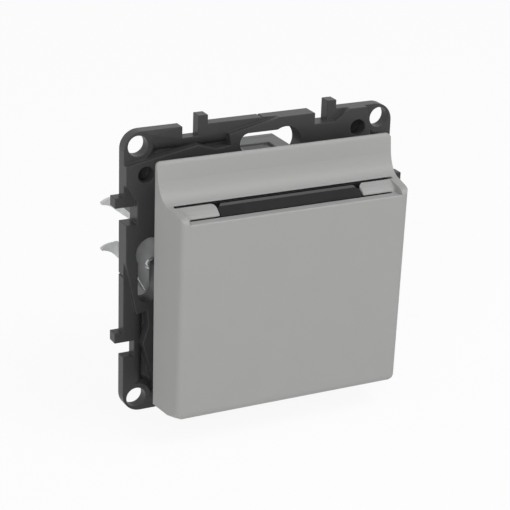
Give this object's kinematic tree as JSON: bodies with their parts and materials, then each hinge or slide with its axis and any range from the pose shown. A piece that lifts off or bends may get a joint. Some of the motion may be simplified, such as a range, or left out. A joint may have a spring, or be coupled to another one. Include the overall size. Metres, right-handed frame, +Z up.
{
  "type": "hotel key card switch",
  "caption": "Key card switch for a hotel room: square support frame with claws, grey cover with a hooded card slot and light lens, wired housing behind.",
  "frame": {"origin": "centre of the support frame, on its rear face, which lies on the wall", "axes": "+X to the right seen from the room, +Y into the wall, +Z up"},
  "size_m": [0.0771, 0.0534, 0.0754],
  "materials": {
    "frame_plastic": "satin",
    "carrier_plastic": "satin",
    "cover_plastic": "fine satin metallic grey",
    "lens_plastic": "gloss, smoked",
    "board_green": "solder mask",
    "chip_black": "matte",
    "lamp_clear": "gloss",
    "contact_brass": "satin",
    "spring_steel": "satin",
    "screw_steel": "zinc plated",
    "claw_zinc": "zinc plated sheet",
    "case_ivory": "matte",
    "housing_plastic": "matte",
    "lever_white": "matte",
    "plunger_red": "matte",
    "button_white": "matte"
  },
  "bodies": {
    "switch_body": {"support_frame": "frame_plastic", "mechanism_carrier": "carrier_plastic", "front_cover": "cover_plastic", "card_guide": "carrier_plastic", "light_lens": "lens_plastic", "circuit_board": "board_green", "board_parts": "chip_black", "indicator_lamp": "lamp_clear", "lamp_contact_pins": "contact_brass", "lever_pivot_pin": "screw_steel", "plunger_spring": "spring_steel", "switch_case": "case_ivory", "common_contact": "contact_brass", "fixed_contact": "contact_brass", "rear_housing": "housing_plastic", "rear_cover": "housing_plastic", "terminal_bars": "contact_brass", "clamp_springs": "spring_steel", "housing_screws": "screw_steel", "left_claw_pin": "screw_steel", "right_claw_pin": "screw_steel"},
    "card_lever": {"card_lever": "lever_white"},
    "plunger": {"plunger": "plunger_red"},
    "contact_blade": {"contact_blade": "contact_brass"},
    "left_claw": {"left_claw": "claw_zinc"},
    "right_claw": {"right_claw": "claw_zinc"},
    "left_claw_screw": {"left_claw_screw": "screw_steel"},
    "right_claw_screw": {"right_claw_screw": "screw_steel"},
    "release_button_1": {"release_button_1": "button_white"},
    "release_button_2": {"release_button_2": "button_white"},
    "release_button_3": {"release_button_3": "button_white"},
    "release_button_4": {"release_button_4": "button_white"}
  },
  "joints": [
    {"name": "lever_pivot", "type": "hinge", "parent": "switch_body", "child": "card_lever", "pos_m": [0, -0.0112, 0.0035], "axis": [1, 0, 0], "range_deg": [0, 7], "stiffness_Nm_per_rad": 0.05, "springref_deg": -5.73},
    {"name": "plunger_slide", "type": "slide", "parent": "switch_body", "child": "plunger", "axis": [0, 1, 0], "range_m": [0, 0.00141], "deforming": ["plunger_spring"]},
    {"name": "blade_pivot", "type": "hinge", "parent": "switch_body", "child": "contact_blade", "pos_m": [0, 0.004, -0.0168], "axis": [-1, 0, 0], "range_deg": [0, 9.2]},
    {"name": "left_claw_screw_turn", "type": "hinge", "parent": "switch_body", "child": "left_claw_screw", "pos_m": [-0.0253, 0, 0], "axis": [0, 1, 0], "range_deg": [0, 720]},
    {"name": "left_claw_swing", "type": "hinge", "parent": "switch_body", "child": "left_claw", "pos_m": [-0.0228, 0.0042, 0], "axis": [0, 0, 1], "range_deg": [0, 15.01]},
    {"name": "right_claw_screw_turn", "type": "hinge", "parent": "switch_body", "child": "right_claw_screw", "pos_m": [0.0253, 0, 0], "axis": [0, 1, 0], "range_deg": [0, 720]},
    {"name": "right_claw_swing", "type": "hinge", "parent": "switch_body", "child": "right_claw", "pos_m": [0.0228, 0.0042, 0], "axis": [0, 0, -1], "range_deg": [0, 15.01]},
    {"name": "release_button_1_press", "type": "slide", "parent": "switch_body", "child": "release_button_1", "axis": [0, -1, 0], "range_m": [0, 0.001], "stiffness_N_per_m": 200, "springref_m": -0.002},
    {"name": "release_button_2_press", "type": "slide", "parent": "switch_body", "child": "release_button_2", "axis": [0, -1, 0], "range_m": [0, 0.001], "stiffness_N_per_m": 200, "springref_m": -0.002},
    {"name": "release_button_3_press", "type": "slide", "parent": "switch_body", "child": "release_button_3", "axis": [0, -1, 0], "range_m": [0, 0.001], "stiffness_N_per_m": 200, "springref_m": -0.002},
    {"name": "release_button_4_press", "type": "slide", "parent": "switch_body", "child": "release_button_4", "axis": [0, -1, 0], "range_m": [0, 0.001], "stiffness_N_per_m": 200, "springref_m": -0.002}
  ],
  "couplings": [
    {"joint": "plunger_slide", "follows": "lever_pivot", "m_per_rad": 0.0115},
    {"joint": "blade_pivot", "follows": "lever_pivot", "ratio": 1.3068},
    {"joint": "left_claw_swing", "follows": "left_claw_screw_turn", "ratio": 0.020833},
    {"joint": "right_claw_swing", "follows": "right_claw_screw_turn", "ratio": 0.020833}
  ]
}
